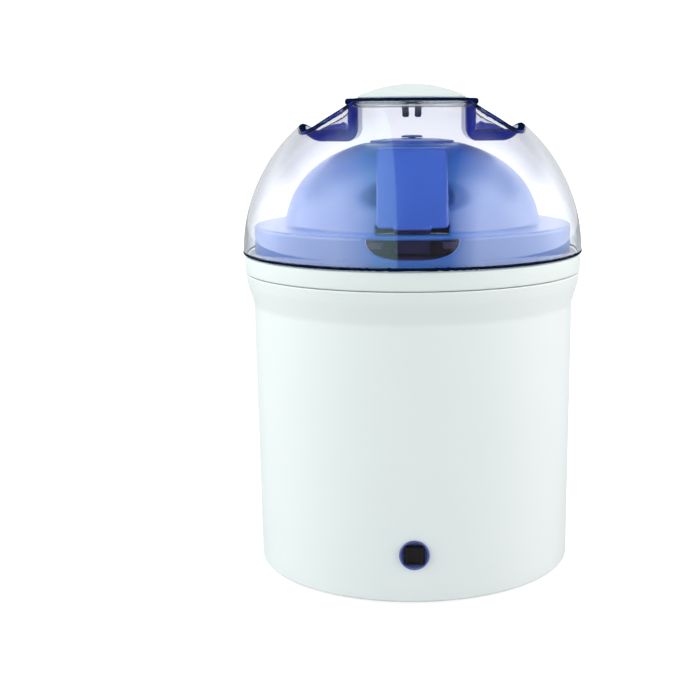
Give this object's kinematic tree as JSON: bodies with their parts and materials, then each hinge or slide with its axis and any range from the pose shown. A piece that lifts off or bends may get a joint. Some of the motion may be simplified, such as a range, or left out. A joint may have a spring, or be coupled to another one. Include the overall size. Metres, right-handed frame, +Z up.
{
  "type": "yogurt maker",
  "caption": "Heated white base with a push button, a lift-out jar with lid, a blue domed inner cover and a clear outer dome with finger pockets.",
  "frame": {"origin": "on the table under the centre of the round base, at the bottom of the feet", "axes": "+Z up along the base's round axis, -Y towards the front with the push button, +X to the right seen from the front"},
  "size_m": [0.1622, 0.1622, 0.2301],
  "materials": {
    "shell_white": "glossy moulded white plastic, fine orange peel",
    "ring_white": "satin moulded white plastic with a faint green-grey cast",
    "well_aluminium": "spun aluminium",
    "steel": "bright steel",
    "foot_rubber": "matt rubber",
    "gland_rubber": "matt white rubber",
    "switch_black": "matt black plastic",
    "terminal_white": "matt plastic",
    "lead_insulation": "silicone insulation",
    "bezel_blue": "translucent blue plastic, faceted",
    "button_black": "glossy black plastic, dished",
    "jar_clear": "clear plastic",
    "lid_white": "satin white plastic",
    "cover_blue": "satin blue plastic",
    "pocket_dark": "dark plastic",
    "dome_clear": "clear plastic with a pale lilac-blue tint",
    "cap_white": "satin white plastic",
    "clip_navy": "dark blue plastic"
  },
  "bodies": {
    "base": {"outer_housing": "shell_white", "top_ring": "ring_white", "heating_well": "well_aluminium", "bottom_cover": "shell_white", "foot_1": "foot_rubber", "foot_2": "foot_rubber", "foot_3": "foot_rubber", "foot_4": "foot_rubber", "screw_1": "steel", "screw_2": "steel", "screw_3": "steel", "screw_4": "steel", "cord_gland": "gland_rubber", "heater_plate": "well_aluminium", "heater_element": "steel", "thermostat": "switch_black", "thermal_fuse": "steel", "terminal_block": "terminal_white", "lead_switch": "lead_insulation", "lead_heater": "lead_insulation", "lead_inlet": "lead_insulation", "button_bezel": "bezel_blue", "switch_body": "switch_black"},
    "button": {"power_button": "button_black"},
    "jar": {"jar": "jar_clear"},
    "jar_lid": {"jar_lid": "lid_white"},
    "inner_cover": {"inner_cover": "cover_blue", "strap_handle": "cover_blue", "latch_pocket": "pocket_dark", "vent_disc": "cover_blue", "disc_hub": "cover_blue"},
    "outer_cover": {"dome_cover": "dome_clear", "cap": "cap_white", "cap_clip": "clip_navy"}
  },
  "joints": [
    {"name": "power_button_press", "type": "slide", "parent": "base", "child": "button", "axis": [0, 1, 0], "range_m": [0, 0.002], "stiffness_N_per_m": 250, "springref_m": -0.003},
    {"name": "jar_lift", "type": "slide", "parent": "base", "child": "jar", "axis": [0, 0, 1], "range_m": [0, 0.135]},
    {"name": "jar_lid_lift", "type": "slide", "parent": "jar", "child": "jar_lid", "axis": [0, 0, 1], "range_m": [0, 0.04]},
    {"name": "inner_cover_lift", "type": "slide", "parent": "jar_lid", "child": "inner_cover", "axis": [0, 0, 1], "range_m": [0, 0.06]},
    {"name": "outer_cover_lift", "type": "slide", "parent": "inner_cover", "child": "outer_cover", "axis": [0, 0, 1], "range_m": [0, 0.08]}
  ]
}
